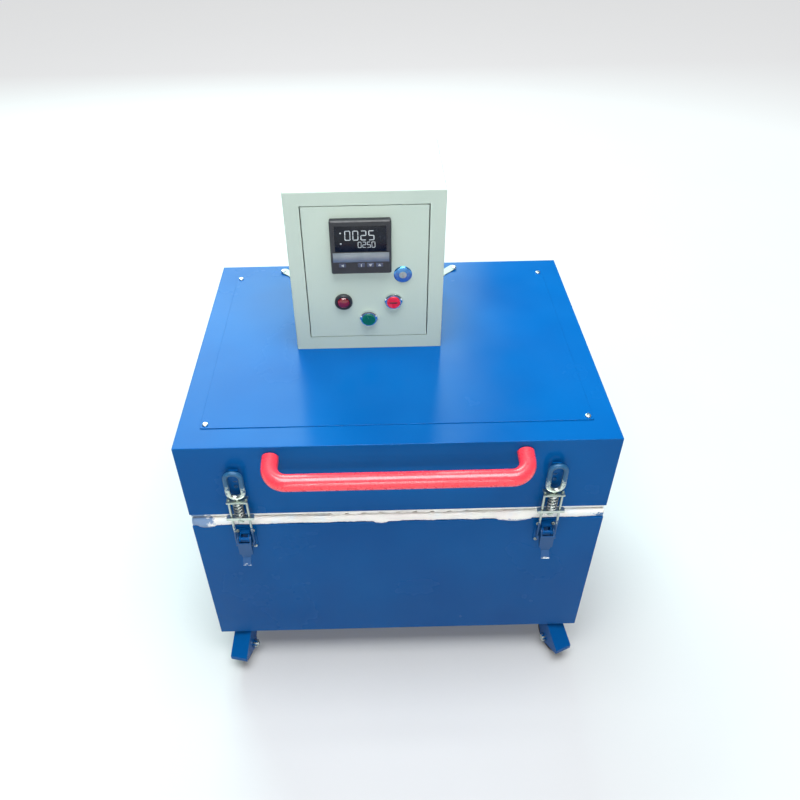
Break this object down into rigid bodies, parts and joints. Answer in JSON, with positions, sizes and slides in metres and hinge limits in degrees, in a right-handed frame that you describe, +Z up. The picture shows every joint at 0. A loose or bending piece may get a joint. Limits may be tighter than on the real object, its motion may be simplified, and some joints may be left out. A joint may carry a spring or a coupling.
{
  "type": "pottery kiln",
  "caption": "Small top-opening electric pottery kiln on swivel casters, with a sheet-steel casing, latched fibre-lined lid and a control cabinet standing on the lid.",
  "frame": {"origin": "on the floor, midway between the sides and midway between front and rear", "axes": "+Z up, -Y towards the front with the handle, latches and cabinet door, +X to the right side"},
  "size_m": [0.68, 0.624, 0.895],
  "materials": {
    "blue_paint": "gloss",
    "cabinet_paint": "satin",
    "red_grip": "gloss",
    "zinc_steel": "satin",
    "spring_steel": "satin",
    "chrome": "polished",
    "ceramic_fibre": "matte",
    "firebrick": "matte",
    "element_alloy": "matte",
    "white_ceramic": "satin",
    "black_plastic": "satin",
    "grey_plastic": "satin",
    "rubber": "matte",
    "key_rubber": "matte",
    "green_plastic": "gloss",
    "red_plastic": "gloss",
    "terminal_plastic": "matte"
  },
  "bodies": {
    "kiln_body": {"body_shell": "blue_paint", "bottom_pan": "blue_paint", "fibre_backing": "ceramic_fibre", "brick_walls": "firebrick", "brick_floor": "firebrick", "rim_seal": "ceramic_fibre", "heating_elements": "element_alloy", "terminal_bushings": "white_ceramic", "thermocouple": "white_ceramic", "terminal_cover": "blue_paint", "mains_gland": "black_plastic", "body_hinge_leaves": "blue_paint", "lid_stop_brackets": "blue_paint", "lid_stop_pads": "rubber", "latch_bases": "blue_paint", "body_screws": "zinc_steel", "caster_plates": "blue_paint", "caster_bolts": "zinc_steel"},
    "lid": {"lid_shell": "blue_paint", "lid_top_plate": "blue_paint", "lid_lining": "ceramic_fibre", "lid_handle": "red_grip", "lid_hinge_leaves": "blue_paint", "hinge_pins": "zinc_steel", "latch_keepers": "blue_paint", "lid_screws": "zinc_steel", "cabinet_shell": "cabinet_paint", "cabinet_feet": "cabinet_paint", "mounting_plate": "zinc_steel", "contactor": "grey_plastic", "terminal_block": "terminal_plastic", "cabinet_gland": "black_plastic"},
    "cabinet_door": {"cabinet_door": "cabinet_paint", "temperature_controller": "black_plastic", "indicator_lamp": "black_plastic", "button_bezels": "chrome", "lock_housing": "chrome"},
    "door_lock": {"lock_cam": "chrome"},
    "start_button": {"start_button": "green_plastic"},
    "stop_button": {"stop_button": "red_plastic"},
    "key_1": {"controller_key_1": "key_rubber"},
    "key_2": {"controller_key_2": "key_rubber"},
    "key_3": {"controller_key_3": "key_rubber"},
    "key_4": {"controller_key_4": "key_rubber"},
    "latch_lever_left": {"latch_lever_left": "zinc_steel"},
    "latch_bail_left": {"latch_bail_left": "zinc_steel", "latch_spring_left": "spring_steel"},
    "latch_eye_left": {"latch_eye_left": "zinc_steel"},
    "latch_lever_right": {"latch_lever_right": "zinc_steel"},
    "latch_bail_right": {"latch_bail_right": "zinc_steel", "latch_spring_right": "spring_steel"},
    "latch_eye_right": {"latch_eye_right": "zinc_steel"},
    "swivel_front_left": {"caster_fork_front_left": "blue_paint"},
    "wheel_front_left": {"caster_wheel_front_left": "rubber"},
    "swivel_front_right": {"caster_fork_front_right": "blue_paint"},
    "wheel_front_right": {"caster_wheel_front_right": "rubber"},
    "swivel_rear_left": {"caster_fork_rear_left": "blue_paint"},
    "wheel_rear_left": {"caster_wheel_rear_left": "rubber"},
    "swivel_rear_right": {"caster_fork_rear_right": "blue_paint"},
    "wheel_rear_right": {"caster_wheel_rear_right": "rubber"}
  },
  "joints": [
    {"name": "lid_hinge", "type": "hinge", "parent": "kiln_body", "child": "lid", "pos_m": [0, 0.27, 0.425], "axis": [-1, 0, 0], "range_deg": [0, 90]},
    {"name": "cabinet_door_hinge", "type": "hinge", "parent": "lid", "child": "cabinet_door", "pos_m": [-0.1375, -0.02, 0.746], "axis": [0, 0, -1], "range_deg": [0, 110]},
    {"name": "door_lock_turn", "type": "hinge", "parent": "cabinet_door", "child": "door_lock", "pos_m": [0.0165, -0.023, 0.746], "axis": [0, 1, 0], "range_deg": [0, 90]},
    {"name": "start_push", "type": "slide", "parent": "cabinet_door", "child": "start_button", "axis": [0, 1, 0], "range_m": [0, 0.003], "stiffness_N_per_m": 400},
    {"name": "stop_push", "type": "slide", "parent": "cabinet_door", "child": "stop_button", "axis": [0, 1, 0], "range_m": [0, 0.003], "stiffness_N_per_m": 400},
    {"name": "key_1_push", "type": "slide", "parent": "cabinet_door", "child": "key_1", "axis": [0, 1, 0], "range_m": [0, 0.0008], "stiffness_N_per_m": 300},
    {"name": "key_2_push", "type": "slide", "parent": "cabinet_door", "child": "key_2", "axis": [0, 1, 0], "range_m": [0, 0.0008], "stiffness_N_per_m": 300},
    {"name": "key_3_push", "type": "slide", "parent": "cabinet_door", "child": "key_3", "axis": [0, 1, 0], "range_m": [0, 0.0008], "stiffness_N_per_m": 300},
    {"name": "key_4_push", "type": "slide", "parent": "cabinet_door", "child": "key_4", "axis": [0, 1, 0], "range_m": [0, 0.0008], "stiffness_N_per_m": 300},
    {"name": "latch_lever_left", "type": "hinge", "parent": "kiln_body", "child": "latch_lever_left", "pos_m": [-0.2535, -0.271, 0.396], "axis": [-1, 0, 0], "range_deg": [0, 135]},
    {"name": "latch_bail_left", "type": "hinge", "parent": "latch_lever_left", "child": "latch_bail_left", "pos_m": [-0.2535, -0.268, 0.38], "axis": [-1, 0, 0], "range_deg": [-176, 0]},
    {"name": "latch_draw_left", "type": "slide", "parent": "latch_bail_left", "child": "latch_eye_left", "axis": [0, 0, 1], "range_m": [0, 0.005], "stiffness_N_per_m": 2000, "deforming": ["latch_spring_left"]},
    {"name": "latch_lever_right", "type": "hinge", "parent": "kiln_body", "child": "latch_lever_right", "pos_m": [0.245, -0.271, 0.396], "axis": [-1, 0, 0], "range_deg": [0, 135]},
    {"name": "latch_bail_right", "type": "hinge", "parent": "latch_lever_right", "child": "latch_bail_right", "pos_m": [0.245, -0.268, 0.38], "axis": [-1, 0, 0], "range_deg": [-176, 0]},
    {"name": "latch_draw_right", "type": "slide", "parent": "latch_bail_right", "child": "latch_eye_right", "axis": [0, 0, 1], "range_m": [0, 0.005], "stiffness_N_per_m": 2000, "deforming": ["latch_spring_right"]},
    {"name": "swivel_front_left", "type": "hinge", "parent": "kiln_body", "child": "swivel_front_left", "pos_m": [-0.296, -0.224, 0.078], "axis": [0, 0, 1], "continuous": true},
    {"name": "wheel_front_left", "type": "hinge", "parent": "swivel_front_left", "child": "wheel_front_left", "pos_m": [-0.30016, -0.24356, 0.0325], "axis": [0.9781, -0.2079, 0], "continuous": true},
    {"name": "swivel_front_right", "type": "hinge", "parent": "kiln_body", "child": "swivel_front_right", "pos_m": [0.296, -0.224, 0.078], "axis": [0, 0, 1], "continuous": true},
    {"name": "wheel_front_right", "type": "hinge", "parent": "swivel_front_right", "child": "wheel_front_right", "pos_m": [0.30349, -0.24254, 0.0325], "axis": [0.9272, 0.3746, 0], "continuous": true},
    {"name": "swivel_rear_left", "type": "hinge", "parent": "kiln_body", "child": "swivel_rear_left", "pos_m": [-0.296, 0.224, 0.078], "axis": [0, 0, 1], "continuous": true},
    {"name": "wheel_rear_left", "type": "hinge", "parent": "swivel_rear_left", "child": "wheel_rear_left", "pos_m": [-0.30349, 0.24254, 0.0325], "axis": [-0.9272, -0.3746, 0], "continuous": true},
    {"name": "swivel_rear_right", "type": "hinge", "parent": "kiln_body", "child": "swivel_rear_right", "pos_m": [0.296, 0.224, 0.078], "axis": [0, 0, 1], "continuous": true},
    {"name": "wheel_rear_right", "type": "hinge", "parent": "swivel_rear_right", "child": "wheel_rear_right", "pos_m": [0.30185, 0.24313, 0.0325], "axis": [-0.9563, 0.2924, 0], "continuous": true}
  ],
  "couplings": [
    {"joint": "latch_bail_left", "follows": "latch_lever_left", "ratio": -1.3},
    {"joint": "latch_bail_right", "follows": "latch_lever_right", "ratio": -1.3}
  ]
}
